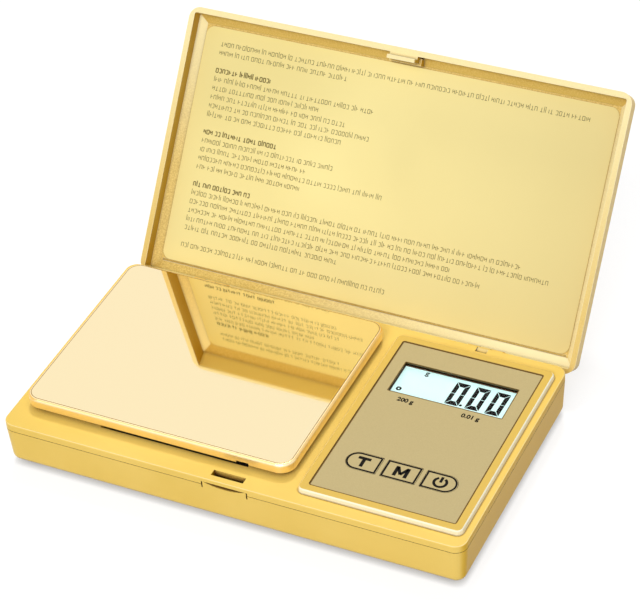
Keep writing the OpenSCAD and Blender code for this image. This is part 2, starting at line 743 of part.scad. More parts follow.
module tact_switches() {
    color(black) for (i = [-1 : 1]) translate([panel_x + i * key_pitch, key_y, board_z1]) {
        translate([0, 0, switch_h / 2]) cube([switch_w, switch_w, switch_h], center = true);
        cylinder(r = 1.5, h = z_ledge - 0.65 - key_travel - 0.05 - board_z1);
    }
}

module backlight() {
    color([0.95, 0.97, 1]) translate([panel_x, window_y - 0.6, board_z1])
        rounded_plate(glass_w - 1.4, glass_d - 4.2, light_h, 0.8);
}

module zebra_strip() {
    color([0.85, 0.6, 0.65])
        translate([panel_x, window_y + glass_d / 2 - 1, board_z1 + light_h / 2])
            cube([glass_w - 3, 1.6, light_h], center = true);
}

module lcd_glass() {
    color([0.86, 0.99, 0.99]) translate([panel_x, window_y, glass_z0]) {
        box([-glass_w / 2, -glass_d / 2, 0], [glass_w / 2, glass_d / 2, glass_t / 2]);
        box([-glass_w / 2, -glass_d / 2, 0], [glass_w / 2, glass_d / 2 - 2, glass_t]);
    }
}

module lcd_holder() {
    h = light_h + glass_t - 0.3;
    color(black) translate([panel_x, window_y, board_z1]) difference() {
        rounded_plate(glass_w + 2 * holder_t + 0.2, glass_d + 2 * holder_t + 0.2, h, 1);
        translate([0, 0, -1]) linear_extrude(h + 2) square([glass_w + 0.2, glass_d + 0.2], center = true);
    }
}

module display_window() {
    color([0.8, 0.9, 0.92, 0.4]) translate([panel_x, window_y, z_ledge - 0.6])
        linear_extrude(0.6)
            square([window_w + 1.6 - 2 * lay_gap, window_d + 1.6 - 2 * lay_gap], center = true);
}

// Outline of key i, grown by gap: the end keys have one round end
module key_outline(i, gap, h) {
    w = (i == 0 ? key_mid_w : key_end_w) + 2 * gap;
    d = key_d + 2 * gap;
    linear_extrude(h) {
        if (i == 0) rounded_rect(w, d, 0.4);
        else mirror([i < 0 ? 0 : 1, 0]) {
            translate([d / 4, 0]) rounded_rect(w - d / 2, d, 0.4);
            translate([d / 2 - w / 2, 0]) circle(d = d);
        }
    }
}

module overlay_panel() {
    color(tan) translate([0, 0, z_ledge]) difference() {
        translate([panel_x, panel_y, 0])
            rounded_plate(overlay_w - 2 * lay_gap, overlay_d - 2 * lay_gap, overlay_t, overlay_r - lay_gap);
        translate([panel_x, window_y, -1])
            linear_extrude(3) square([window_w, window_d], center = true);
        for (i = [-1 : 1]) translate([panel_x + i * key_pitch, key_y, -1]) key_outline(i, lay_gap, 3);
    }
}

module key(i) {
    translate([panel_x + i * key_pitch, key_y, z_ledge]) {
        key_outline(i, 0, overlay_t);
        translate([0, 0, -0.65]) cylinder(r = key_stem_r, h = 0.65 + eps);
    }
}

module key_tare() {
    color(tan) key(-1);
}

module key_mode() {
    color(tan) key(0);
}

module key_power() {
    color(tan) key(1);
}

module case_screws() {
    color(steel) at_corners(screw_x, screw_y)
        translate([0, 0, head_seat]) pan_screw(m2_r, 1.9, 1.3, 7.8);
}

module rubber_feet() {
    color(black) at_corners(screw_x, screw_y) rotate_extrude()
        polygon([[0, 0], [foot_r - 0.5, 0], [foot_r - 0.15, 0.15], [foot_r, 0.5],
            [foot_r, foot_h + foot_recess], [0, foot_h + foot_recess]]);
}

// Flat lead of four wires from the load cell: two runs, two bends and an end turned up to the board
module cell_lead() {
    lead_w = 3.2;
    lead_t = 0.8;
    bend_r = 6;
    start_x = cell_x + cell_w / 2;
    start_y = tray_y - 2;
    run = (board_x0 + 3 - start_x - 2 * bend_r) / 2;
    z0 = min(board_z0 - lead_t, cell_z1 - 2);
    color([0.75, 0.2, 0.15]) translate([start_x, start_y, z0]) {
        translate([0, -lead_w / 2, 0]) cube([run, lead_w, lead_t]);
        translate([run - eps, bend_r, 0]) rotate(-90) lead_bend(bend_r, lead_w, lead_t);
        translate([run + 2 * bend_r, bend_r, 0]) rotate(90) lead_bend(bend_r, lead_w, lead_t);
        translate([run + 2 * bend_r - eps, 2 * bend_r - lead_w / 2, 0]) cube([run, lead_w, lead_t]);
        translate([2 * run + 2 * bend_r - lead_t, 2 * bend_r - lead_w / 2, 0])
            cube([lead_t - eps, lead_w, board_z0 - z0]);
    }
}

module lead_bend(r, w, t) {
    rotate_extrude(angle = 90) translate([r - w / 2, 0]) square([w, t]);
}

// Round lead from a battery terminal: along the front wall, in under the board and up to it
module battery_lead(i) {
    x0 = battery_x[i] + lead_tab_x;
    y0 = -bay_l / 2 - 1.2;
    y1 = -case_d / 2 + 3.8 + 1.5 * i;
    x1 = board_x0 + 11 - 2.5 * i;
    y2 = -board_y + 6;
    translate([x0, y1 + lead_bend_r, lead_z]) rotate([-90, 0, 0])
        cylinder(r = lead_r, h = y0 - y1 - lead_bend_r);
    translate([x0 + lead_bend_r, y1 + lead_bend_r, lead_z]) rotate(180) round_bend();
    translate([x0 + lead_bend_r, y1, lead_z]) rotate([0, 90, 0])
        cylinder(r = lead_r, h = x1 - x0 - 2 * lead_bend_r);
    translate([x1 - lead_bend_r, y1 + lead_bend_r, lead_z]) rotate(270) round_bend();
    translate([x1, y1 + lead_bend_r, lead_z]) rotate([-90, 0, 0])
        cylinder(r = lead_r, h = y2 - y1 - 2 * lead_bend_r);
    translate([x1, y2 - lead_bend_r, lead_z + lead_bend_r]) rotate([90, 0, 90]) rotate(270) round_bend();
    translate([x1, y2, 0]) post(lead_r, lead_z + lead_bend_r, board_z0);
}

module round_bend() {
    rotate_extrude(angle = 90) translate([lead_bend_r, 0]) circle(lead_r);
}

module battery_leads() {
    color([0.7, 0.12, 0.1]) for (i = [0, 1]) battery_lead(i);
}

module hinge_pins() {
    color(steel) for (side = [-1, 1])
        translate([side * hinge_x, hinge_y, hinge_z]) bar_x(pin_d / 2, pin_l);
}

// Side view of a hinge lug about the axis: from the lid's rear wall down to a rounded heel,
// which fills the case's notch when the lid is open
module lug_profile() {
    rim = z_rim - hinge_z;
    inner = lid_overhang - hinge_back - rim_w;
    outer = lid_overhang - hinge_back - 0.1;
    translate([lug_mid, lug_end_r - lug_heel]) circle(lug_end_r);
    polygon([
        [-lug_front, lug_end_r - lug_heel],
        [lug_back, lug_end_r - lug_heel],
        [lug_back, rim - 0.8],
        [outer, rim],
        [outer, rim + 0.6],
        [inner, rim + 0.6],
        [inner, rim - 0.3],
        [-lug_front, pin_d / 2 + 0.1]
    ]);
}

// Lid as it lies when shut, rim down
module lid_shut() {
    wall_w = case_w - 2 * rim_w;
    wall_d = lid_d - 2 * rim_w;
    channel_x = rim_w + slope_run + 0.5;
    channel_y = lid_y1 - rim_w - slope_run - 0.1;
    difference() {
        union() {
            difference() {
                translate([0, lid_y, z_rim + lid_h]) mirror([0, 0, 1])
                    moulded_block(case_w, lid_d, lid_h, corner_r, lid_draft, lid_fillet);
                translate([0, lid_y, z_rim - 1]) rounded_plate(wall_w, wall_d, lid_wall_depth + 1, 0.6);
                translate([0, lid_y, z_rim + lid_wall_depth - eps]) hull() {
                    rounded_plate(wall_w, wall_d, eps, 0.6, $fn = 24);
                    translate([0, 0, slope_drop])
                        rounded_plate(wall_w - 2 * slope_run, wall_d - 2 * slope_run, eps, 0.1, $fn = 16);
                }
            }
            // Hook with its foot on the sloping band, and the boss that joins it to the lid's wall
            box([-hook_w / 2, rim_w - case_d / 2 - eps, z_rim],
                [hook_w / 2, hook_y + eps, z_rim + lid_floor]);
            translate([0, hook_y + hook_t / 2, 0]) {
                box([-hook_w / 2, -hook_t / 2, z_rim - hook_reach],
                    [hook_w / 2, hook_t / 2, z_rim + lid_floor]);
                box([-hook_w / 2 - 0.6, -hook_t / 2 - 0.4, z_rim + lid_wall_depth - 1.6],
                    [hook_w / 2 + 0.6, hook_t / 2 + 0.5, z_rim + lid_floor]);
            }
            // Hinge lugs
            for (side = [-1, 1]) translate([side * hinge_x, hinge_y, hinge_z])
                rotate([90, 0, 90]) linear_extrude(lug_w, center = true) lug_profile();
        }
        for (side = [-1, 1])
            translate([side * hinge_x, hinge_y, hinge_z]) bar_x(pin_d / 2 + pin_gap, lug_w + 1);
        // Channel between the label and the sloping band on the hinge side
        box([channel_x - case_w / 2, channel_y - channel_w, z_rim + lid_floor - 1],
            [case_w / 2 - channel_x, channel_y, z_rim + lid_floor + channel_t]);
    }
}

module lid() {
    color(gold) opened() lid_shut();
}

module lid_label() {
    w = case_w - 2 * label_side;
    d = lid_d - label_front - label_rear;
    color([0.93, 0.88, 0.62]) opened()
        translate([0, lid_y1 - label_rear - d / 2, z_rim + lid_floor - label_t - eps])
            rounded_plate(w, d, label_t, label_r);
}

bottom_case();
top_case();
battery_door();
battery_left();
battery_right();
bridge_contact();
terminal_contacts();
load_cell();
gauge_covers();
cell_screws();
overload_screw();
tray_carrier();
carrier_screws();
tray_pads();
weighing_tray();
circuit_board();
board_parts();
board_screws();
tact_switches();
backlight();
zebra_strip();
lcd_glass();
lcd_holder();
display_window();
overlay_panel();
key_tare();
key_mode();
key_power();
case_screws();
rubber_feet();
cell_lead();
battery_leads();
hinge_pins();
lid();
lid_label();
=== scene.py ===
import math
import random

import bmesh
import bpy
from mathutils import Matrix, Vector


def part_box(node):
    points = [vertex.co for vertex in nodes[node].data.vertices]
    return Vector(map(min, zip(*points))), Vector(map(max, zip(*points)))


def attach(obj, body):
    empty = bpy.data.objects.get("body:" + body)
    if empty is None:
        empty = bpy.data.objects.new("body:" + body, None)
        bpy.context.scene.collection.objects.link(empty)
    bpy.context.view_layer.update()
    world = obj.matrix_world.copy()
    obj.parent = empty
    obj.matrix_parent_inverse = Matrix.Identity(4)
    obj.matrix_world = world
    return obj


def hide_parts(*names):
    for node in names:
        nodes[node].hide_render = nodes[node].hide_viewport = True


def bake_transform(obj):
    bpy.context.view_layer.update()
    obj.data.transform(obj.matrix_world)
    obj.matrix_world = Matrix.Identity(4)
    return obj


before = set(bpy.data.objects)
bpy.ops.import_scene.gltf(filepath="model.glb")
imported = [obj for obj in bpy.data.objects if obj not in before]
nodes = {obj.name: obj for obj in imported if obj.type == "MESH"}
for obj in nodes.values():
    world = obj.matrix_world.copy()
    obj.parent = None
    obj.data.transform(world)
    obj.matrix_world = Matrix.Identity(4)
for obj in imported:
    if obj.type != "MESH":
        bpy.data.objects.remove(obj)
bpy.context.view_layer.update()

scene = bpy.context.scene
mm = 0.001
right = (1, 0, 0)
up = (0, 0, 1)
print("frame loaded:", len(nodes), "nodes")


def linear(r, g, b):
    # a colour as a picture editor shows it, 0 to 255, in the renderer's own numbers
    def one(v):
        v /= 255
        return v / 12.92 if v <= 0.04045 else ((v + 0.055) / 1.055) ** 2.4
    return (one(r), one(g), one(b), 1)


def setSocket(tree, value, socket):
    if isinstance(value, bpy.types.NodeSocket):
        tree.links.new(value, socket)
    else:
        socket.default_value = value


def calc(tree, operation, first, second=0.5, clamp=False):
    node = tree.nodes.new("ShaderNodeMath")
    node.operation = operation
    node.use_clamp = clamp
    setSocket(tree, first, node.inputs[0])
    setSocket(tree, second, node.inputs[1])
    return node.outputs[0]


def both(tree, first, second):
    return calc(tree, "MULTIPLY", first, second)


def vectorCalc(tree, operation, first, second=(0, 0, 0)):
    node = tree.nodes.new("ShaderNodeVectorMath")
    node.operation = operation
    setSocket(tree, first, node.inputs[0])
    setSocket(tree, second, node.inputs[1])
    return node


def spread(tree, value, low, high, start=0, end=1):
    # turns start to end into low to high, and stops there
    node = tree.nodes.new("ShaderNodeMapRange")
    node.inputs["From Min"].default_value = start
    node.inputs["From Max"].default_value = end
    node.inputs["To Min"].default_value = low
    node.inputs["To Max"].default_value = high
    tree.links.new(value, node.inputs["Value"])
    return node.outputs["Result"]


def between(tree, value, limits):
    # 1 between the two middle limits, 0 outside the outer two
    top, underTop, bottom, overBottom = limits
    return both(tree, spread(tree, value, 0, 1, top, underTop), spread(tree, value, 0, 1, bottom, overBottom))


def objectPlace(tree, scale=(1, 1, 1)):
    coordinates = tree.nodes.new("ShaderNodeTexCoord")
    mapping = tree.nodes.new("ShaderNodeMapping")
    mapping.inputs["Scale"].default_value = scale
    tree.links.new(coordinates.outputs["Object"], mapping.inputs["Vector"])
    return mapping.outputs["Vector"]


def along(tree, output, direction):
    coordinates = tree.nodes.new("ShaderNodeTexCoord")
    return vectorCalc(tree, "DOT_PRODUCT", coordinates.outputs[output], direction).outputs["Value"]


def placeAlong(tree, direction):
    return along(tree, "Object", direction)


def facing(tree, direction):
    # the object's own normals, so that a piece keeps its tones as it turns on its joint
    return along(tree, "Normal", direction)


def noise(tree, place, scale, detail=2, roughness=0.5):
    node = tree.nodes.new("ShaderNodeTexNoise")
    node.inputs["Scale"].default_value = scale
    node.inputs["Detail"].default_value = detail
    node.inputs["Roughness"].default_value = roughness
    tree.links.new(place, node.inputs["Vector"])
    return node.outputs["Fac"]


def ramp(tree, value, stops):
    node = tree.nodes.new("ShaderNodeValToRGB")
    elements = node.color_ramp.elements
    while len(elements) < len(stops):
        elements.new(0.5)
    for element, (position, colour) in zip(elements, stops):
        element.position = position
        element.color = linear(*colour)
    tree.links.new(value, node.inputs[0])
    return node.outputs["Color"]


def mixColours(tree, factor, first, second):
    node = tree.nodes.new("ShaderNodeMix")
    node.data_type = "RGBA"
    tree.links.new(factor, node.inputs[0])
    for value, socket in ((first, node.inputs[6]), (second, node.inputs[7])):
        setSocket(tree, linear(*value) if isinstance(value, tuple) else value, socket)
    return node.outputs[2]


def sharpness(tree, radius):
    # 1 on edges sharper than the radius
    geometry = tree.nodes.new("ShaderNodeNewGeometry")
    bevel = tree.nodes.new("ShaderNodeBevel")
    bevel.samples = 6
    bevel.inputs["Radius"].default_value = radius
    same = vectorCalc(tree, "DOT_PRODUCT", geometry.outputs["Normal"], bevel.outputs[0]).outputs["Value"]
    return spread(tree, same, 1, 0, 0.9, 0.995)


def openness(tree, distance, power=1, samples=8):
    # 1 where nothing stands within the distance
    node = tree.nodes.new("ShaderNodeAmbientOcclusion")
    node.samples = samples
    node.inputs["Distance"].default_value = distance
    return calc(tree, "POWER", node.outputs["AO"], power)


def newMaterial(name, colour, roughness, **sockets):
    material = bpy.data.materials.new(name)
    material.use_nodes = True
    shader = material.node_tree.nodes["Principled BSDF"]
    shader.inputs["Base Color"].default_value = linear(*colour)
    shader.inputs["Roughness"].default_value = roughness
    for key, value in sockets.items():
        shader.inputs[key.replace("_", " ")].default_value = value
    return material, material.node_tree, shader


def finishSurface(tree, shader, colour, grain, roughness, depth, strength=0.6):
    tree.links.new(colour, shader.inputs["Base Color"])
    tree.links.new(spread(tree, grain, *roughness), shader.inputs["Roughness"])
    bump = tree.nodes.new("ShaderNodeBump")
    bump.inputs["Strength"].default_value = strength
    bump.inputs["Distance"].default_value = depth
    tree.links.new(grain, bump.inputs["Height"])
    tree.links.new(bump.outputs["Normal"], shader.inputs["Normal"])


def plainShader(tree, kind, colour):
    node = tree.nodes.new(kind)
    node.inputs["Color"].default_value = (*colour, 1)
    return node


def mixShaders(tree, factor, first, second):
    mix = tree.nodes.new("ShaderNodeMixShader")
    tree.links.new(factor, mix.inputs[0])
    tree.links.new(first, mix.inputs[1])
    tree.links.new(second, mix.inputs[2])
    return mix.outputs[0]


def seenRay(tree):
    # 1 for what the camera sees, straight, in a mirror or through glass
    path = tree.nodes.new("ShaderNodeLightPath")
    straight = calc(tree, "MAXIMUM", path.outputs["Is Camera Ray"], path.outputs["Is Glossy Ray"])
    return calc(tree, "MAXIMUM", straight, path.outputs["Is Transmission Ray"])


cameraSettings = {
    "place": (0.24154, -0.43934, 0.44471),
    "right": (0.90322523, 0.42423367, -0.06488437),
    "up": (-0.22369335, 0.59439934, 0.77243169),
    "back": (0.36625876, -0.68316559, 0.63177473),
    "lens": 145.8, "sensor": 36, "near": 0.01,
    "shift": (0.0309, 0.0412),
}


def addCamera(s):
    data = bpy.data.cameras.new("camera")
    data.lens = s["lens"]
    data.sensor_width = s["sensor"]
    data.sensor_fit = "HORIZONTAL"
    data.shift_x, data.shift_y = s["shift"]
    data.clip_start = s["near"]
    camera = bpy.data.objects.new("camera", data)
    scene.collection.objects.link(camera)
    turn = Matrix((s["right"], s["up"], s["back"])).transposed().to_4x4()
    camera.matrix_world = Matrix.Translation(s["place"]) @ turn
    scene.camera = camera


lightSettings = {
    "front": {"from": (0.06, -0.76, 0.62), "strength": 1.66, "angle": 30, "colour": (1, 1, 0.98)},
    "top": {"from": (-0.14, 0.42, 0.88), "strength": 0.8, "angle": 7, "colour": (1, 1, 1)},
}


def addSun(name, s):
    data = bpy.data.lights.new(name, "SUN")
    data.energy = s["strength"]
    data.angle = math.radians(s["angle"])
    data.color = s["colour"]
    sun = bpy.data.objects.new(name, data)
    scene.collection.objects.link(sun)
    sun.matrix_world = Vector(s["from"]).to_track_quat("Z", "Y").to_matrix().to_4x4()


worldSettings = {"tint": (1, 1, 0.98), "strength": 0.45, "background": (1, 1, 1)}


def addWorld(s):
    world = bpy.data.worlds.new("studio")
    scene.world = world
    world.use_nodes = True
    tree = world.node_tree
    tree.nodes.clear()
    dim = plainShader(tree, "ShaderNodeBackground", s["tint"])
    dim.inputs["Strength"].default_value = s["strength"]
    white = plainShader(tree, "ShaderNodeBackground", s["background"])
    out = tree.nodes.new("ShaderNodeOutputWorld")
    tree.links.new(mixShaders(tree, seenRay(tree), dim.outputs[0], white.outputs[0]), out.inputs[0])


floorSettings = {
    "size": 3, "lit": (0.5, 0.5, 0.5), "soft": (0.3, 0.3, 0.31), "glow": (0.12, 0.78),
    "shadeReach": 0.002, "shadeSamples": 12,
}


def addFloor(s):
    bm = bmesh.new()
    bmesh.ops.create_grid(bm, x_segments=1, y_segments=1, size=s["size"])
    mesh = bpy.data.meshes.new("floor")
    bm.to_mesh(mesh)
    bm.free()
    floor = bpy.data.objects.new("floor", mesh)
    scene.collection.objects.link(floor)
    material = bpy.data.materials.new("paperFloor")
    material.use_nodes = True
    tree = material.node_tree
    tree.nodes.clear()
    lit = plainShader(tree, "ShaderNodeBsdfDiffuse", s["lit"])
    # the camera sees white paper with a soft shade close to the case
    soft = plainShader(tree, "ShaderNodeBsdfDiffuse", s["soft"])
    glow = tree.nodes.new("ShaderNodeEmission")
    near = openness(tree, s["shadeReach"], samples=s["shadeSamples"])
    tree.links.new(spread(tree, near, *s["glow"]), glow.inputs["Strength"])
    paper = tree.nodes.new("ShaderNodeAddShader")
    tree.links.new(soft.outputs[0], paper.inputs[0])
    tree.links.new(glow.outputs[0], paper.inputs[1])
    seen = mixShaders(tree, seenRay(tree), lit.outputs[0], paper.outputs[0])
    # clear from below, so that the underside of the case can be looked at
    back = tree.nodes.new("ShaderNodeNewGeometry").outputs["Backfacing"]
    clear = tree.nodes.new("ShaderNodeBsdfTransparent").outputs[0]
    out = tree.nodes.new("ShaderNodeOutputMaterial")
    tree.links.new(mixShaders(tree, back, seen, clear), out.inputs[0])
    mesh.materials.append(material)


scene.view_settings.view_transform = "Standard"
addCamera(cameraSettings)
addWorld(worldSettings)
for name, settings in lightSettings.items():
    addSun(name, settings)
addFloor(floorSettings)
print("camera, light and floor ready")


mouldGrain = {"scale": 2600, "detail": 2, "roughness": 0.6}

caseGold = {
    "dark": (246, 208, 102), "light": (253, 216, 114), "patches": 45,
    "roughness": (0.3, 0.42), "grain": 0.000006, "shine": 0.16,
    "frame": (231, 193, 92), "frameFlat": (0.0148, 0.0152), "flatFacing": (0.9, 0.97),
    "frameHighlight": (255, 249, 222), "frameFoot": (0.01375, 0.0140), "roundFacing": (0.98, 0.9), "upFacing": (-0.05, 0.2),
    "nearCorner": (0.7, -0.7, 0), "nearFacing": (-0.1, 0.2), "farShare": 0.2,
    "shadedRightSide": (233, 183, 20), "sideFacing": (0.6, 0.95),
    "cavity": (112, 74, 28), "cavitySize": 0.0005, "cavityCurve": 1.75,
    "deep": (88, 52, 24), "deepSize": 0.005, "deepRange": (0.26, 0.58), "underside": (-0.9, -0.5),
}


def makeCaseGold(s):
    material, tree, shader = newMaterial("caseGold", s["light"], 0.5)
    place = objectPlace(tree)
    height = placeAlong(tree, up)
    level = facing(tree, up)
    colour = ramp(tree, noise(tree, place, s["patches"], 3), [(0.3, s["dark"]), (0.7, s["light"])])
    flat = both(tree, spread(tree, height, 0, 1, *s["frameFlat"]), spread(tree, level, 0, 1, *s["flatFacing"]))
    colour = mixColours(tree, flat, colour, s["frame"])
    # painted shade: the side that faces right is painted a deeper tone, as it gets less light
    side = spread(tree, facing(tree, right), 0, 1, *s["sideFacing"])
    colour = mixColours(tree, side, colour, s["shadedRightSide"])
    # painted highlight: the rounded edges of the raised frame are painted pale, most at the front and right
    frameHighlight = both(tree, spread(tree, height, 0, 1, *s["frameFoot"]), spread(tree, level, 0, 1, *s["roundFacing"]))
    frameHighlight = both(tree, frameHighlight, spread(tree, level, 0, 1, *s["upFacing"]))
    near = spread(tree, facing(tree, s["nearCorner"]), s["farShare"], 1, *s["nearFacing"])
    colour = mixColours(tree, both(tree, frameHighlight, near), colour, s["frameHighlight"])
    # seams and corners collect shade
    colour = mixColours(tree, openness(tree, s["cavitySize"], s["cavityCurve"]), s["cavity"], colour)
    # painted shade: slots are painted dark inside, but not the underside, which only the table shades
    deep = spread(tree, openness(tree, s["deepSize"]), 1, 0, *s["deepRange"])
    deep = both(tree, deep, spread(tree, level, 0, 1, *s["underside"]))
    colour = mixColours(tree, deep, colour, s["deep"])
    grain = noise(tree, place, **mouldGrain)
    finishSurface(tree, shader, colour, grain, s["roughness"], s["grain"])
    shader.inputs["Specular IOR Level"].default_value = s["shine"]
    return material


lidGold = {
    "dark": (212, 178, 92), "light": (240, 212, 130),
    "roughness": (0.28, 0.42), "grain": 0.00001, "shine": 0.16,
    "outward": (0, -0.8039, 0.5948), "downward": (0, -0.5948, -0.8039),
    "rimLow": (232, 200, 120), "rimHigh": (255, 240, 186), "rimHeights": (0.02, 0.065),
    "rimAt": (-0.0264, -0.0262), "rimShare": 0.8,
    "pale": (255, 244, 196), "paleHeights": (0.03, 0.062), "paleShares": (0.1, 0.9),
    "paleAcross": (-0.03, 0.045), "rearShare": 0.95, "leftShare": 0.55,
    "dusk": (206, 172, 84), "duskShare": 0.6, "slopeFacing": (0.2, 0.4), "slopeAway": (-0.2, -0.4),
    "outer": (253, 214, 110), "outsideFacing": (-0.5, -0.2),
    "wall": (188, 148, 38), "litEndWall": (250, 233, 162), "wallFacing": (0.2, 0.4), "sideFacing": (0.5, 0.8),
    "wallReach": 0.012, "wallRange": (0.72, 0.92),
    "edge": (255, 248, 212), "edgeSize": 0.00022, "edgeShare": 0.8,
    "cavity": (120, 84, 30), "cavitySize": 0.0009, "cavityCurve": 1.1,
}


def makeLidGold(s):
    material, tree, shader = newMaterial("lidGold", s["light"], 0.5)
    grain = noise(tree, objectPlace(tree), **mouldGrain)
    colour = ramp(tree, grain, [(0.35, s["dark"]), (0.65, s["light"])])
    height = placeAlong(tree, up)
    # painted light and shade: the slopes that look right, and the rear slope, are painted pale, and the one that looks
    # down is painted dull
    higher = spread(tree, height, *s["paleShares"], *s["paleHeights"])
    pale = both(tree, spread(tree, facing(tree, right), 0, 1, *s["slopeFacing"]), higher)
    across = spread(tree, placeAlong(tree, right), 0, s["rearShare"], *s["paleAcross"])
    rear = both(tree, spread(tree, facing(tree, s["downward"]), 0, 1, *s["slopeAway"]), across)
    left = spread(tree, facing(tree, right), 0, s["leftShare"], *s["slopeAway"])
    pale = calc(tree, "MAXIMUM", calc(tree, "MAXIMUM", pale, rear), left)
    colour = mixColours(tree, pale, colour, s["pale"])
    dusk = spread(tree, facing(tree, s["downward"]), 0, s["duskShare"], *s["slopeFacing"])
    colour = mixColours(tree, dusk, colour, s["dusk"])
    # painted sheen: the rim is painted paler towards its top
    rimTone = mixColours(tree, spread(tree, height, 0, 1, *s["rimHeights"]), s["rimLow"], s["rimHigh"])
    rim = spread(tree, placeAlong(tree, s["outward"]), 0, s["rimShare"], *s["rimAt"])
    colour = mixColours(tree, rim, colour, rimTone)
    # the walls outside are the case's gold; inside, where they stand close to each other, the end walls are painted
    # pale as painted light and the side walls dark as painted shade
    upright = spread(tree, calc(tree, "ABSOLUTE", facing(tree, s["outward"])), 1, 0, *s["wallFacing"])
    outside = spread(tree, facing(tree, s["outward"]), 1, 0, *s["outsideFacing"])
    colour = mixColours(tree, calc(tree, "MAXIMUM", upright, outside), colour, s["outer"])
    inner = both(tree, upright, spread(tree, openness(tree, s["wallReach"]), 1, 0, *s["wallRange"]))
    colour = mixColours(tree, inner, colour, s["litEndWall"])
    sideways = spread(tree, calc(tree, "ABSOLUTE", facing(tree, right)), 0, 1, *s["sideFacing"])
    colour = mixColours(tree, both(tree, inner, sideways), colour, s["wall"])
    # painted highlights along edges and painted shade in corners
    colour = mixColours(tree, both(tree, sharpness(tree, s["edgeSize"]), s["edgeShare"]), colour, s["edge"])
    colour = mixColours(tree, openness(tree, s["cavitySize"], s["cavityCurve"]), s["cavity"], colour)
    finishSurface(tree, shader, colour, grain, s["roughness"], s["grain"])
    shader.inputs["Specular IOR Level"].default_value = s["shine"]
    return material


trayGold = {
    "colour": (254, 235, 190), "roughness": 0.02, "smears": 30, "edgeRoughness": 0.34, "edgeFacing": (0.97, 1),
    "line": (170, 128, 62), "lineAt": (0.9998, 0.9985, 0.965, 0.975),
    "turn": (250, 202, 112), "turnAt": (0.9, 0.84, 0.0, 0.4), "nearCorner": (0.7, -0.7, 0), "nearFacing": (0.35, 0.7),
    "lean": (0.025, 0.131, 0), "leanCurve": 60,
}


def makeTrayGold(s):
    material, tree, shader = newMaterial("polishedTray", s["colour"], s["roughness"], Metallic=1.0)
    normal = tree.nodes.new("ShaderNodeNewGeometry").outputs["Normal"]
    parts = tree.nodes.new("ShaderNodeSeparateXYZ")
    tree.links.new(normal, parts.inputs[0])
    level = parts.outputs["Z"]
    # painted reflection: a dark line where the plate starts to turn down, then a deeper gold on the turn, except at
    # the near right corner
    away = spread(tree, facing(tree, s["nearCorner"]), 1, 0, *s["nearFacing"])
    turn = both(tree, between(tree, level, s["turnAt"]), away)
    colour = mixColours(tree, turn, s["colour"], s["turn"])
    colour = mixColours(tree, between(tree, level, s["lineAt"]), colour, s["line"])
    tree.links.new(colour, shader.inputs["Base Color"])
    smear = noise(tree, objectPlace(tree), s["smears"], 3)
    smear = spread(tree, smear, s["roughness"], s["roughness"] * 2)
    edge = spread(tree, level, s["edgeRoughness"], 0, *s["edgeFacing"])
    tree.links.new(calc(tree, "ADD", smear, edge), shader.inputs["Roughness"])
    # the thin plate bows a little, so its flat top mirrors the lid and not only the sky above it
    lean = tree.nodes.new("ShaderNodeVectorMath")
    lean.operation = "SCALE"
    lean.inputs[0].default_value = s["lean"]
    tree.links.new(calc(tree, "POWER", level, s["leanCurve"], clamp=True), lean.inputs["Scale"])
    total = vectorCalc(tree, "ADD", normal, lean.outputs[0])
    tree.links.new(vectorCalc(tree, "NORMALIZE", total.outputs[0]).outputs[0], shader.inputs["Normal"])
    return material


foilGold = {
    "warm": (232, 214, 142), "pale": (246, 230, 160), "clouds": 14,
    "deep": (222, 202, 136), "fadeAlong": (0.9, -0.3, -0.35), "fadeAt": (-0.05, 0.05),
    "roughness": (0.3, 0.42), "streaks": (40, 900, 900), "streakDepth": 0.000006, "shine": 0.25,
}


def makeFoilGold(s):
    material, tree, shader = newMaterial("labelFilm", s["pale"], 0.35)
    cloud = noise(tree, objectPlace(tree), s["clouds"], 2)
    colour = ramp(tree, cloud, [(0.3, s["warm"]), (0.7, s["pale"])])
    # painted shade: the film is painted a deeper tone towards one end, where it mirrors less light
    fade = spread(tree, placeAlong(tree, s["fadeAlong"]), 0, 1, *s["fadeAt"])
    colour = mixColours(tree, fade, colour, s["deep"])
    streak = noise(tree, objectPlace(tree, s["streaks"]), 1, 2)
    finishSurface(tree, shader, colour, streak, s["roughness"], s["streakDepth"], 0.4)
    shader.inputs["Specular IOR Level"].default_value = s["shine"]
    return material


filmTan = {
    "dark": (190, 170, 117), "light": (198, 179, 126), "grain": 3400, "grainDepth": 0.000008, "roughness": (0.5, 0.62),
    "edgeShade": (84, 70, 32), "cutFacing": (0.3, 0.7),
}


def makeFilmTan(s):
    material, tree, shader = newMaterial("panelFilm", s["light"], 0.55)
    fine = noise(tree, objectPlace(tree), s["grain"], 2, 0.7)
    colour = ramp(tree, fine, [(0.25, s["dark"]), (0.75, s["light"])])
    # painted shade: the film's upright sides are painted dark, for the shadow in the gap round it
    edgeShade = spread(tree, facing(tree, up), 1, 0, *s["cutFacing"])
    colour = mixColours(tree, edgeShade, colour, s["edgeShade"])
    finishSurface(tree, shader, colour, fine, s["roughness"], s["grainDepth"], 0.5)
    return material


def makeSpeckled(name, dark, light, roughness, scale, depth, **sockets):
    material, tree, shader = newMaterial(name, light, roughness[1], **sockets)
    fine = noise(tree, objectPlace(tree), scale, 3, 0.6)
    colour = ramp(tree, fine, [(0.3, dark), (0.7, light)])
    finishSurface(tree, shader, colour, fine, roughness, depth)
    return material


displayGlow = {
    "colour": (214, 250, 250), "dark": (150, 165, 163), "light": (157, 172, 170), "clouds": 90,
    "glow": (208, 250, 246), "strength": 0.75, "roughness": 0.25,
}


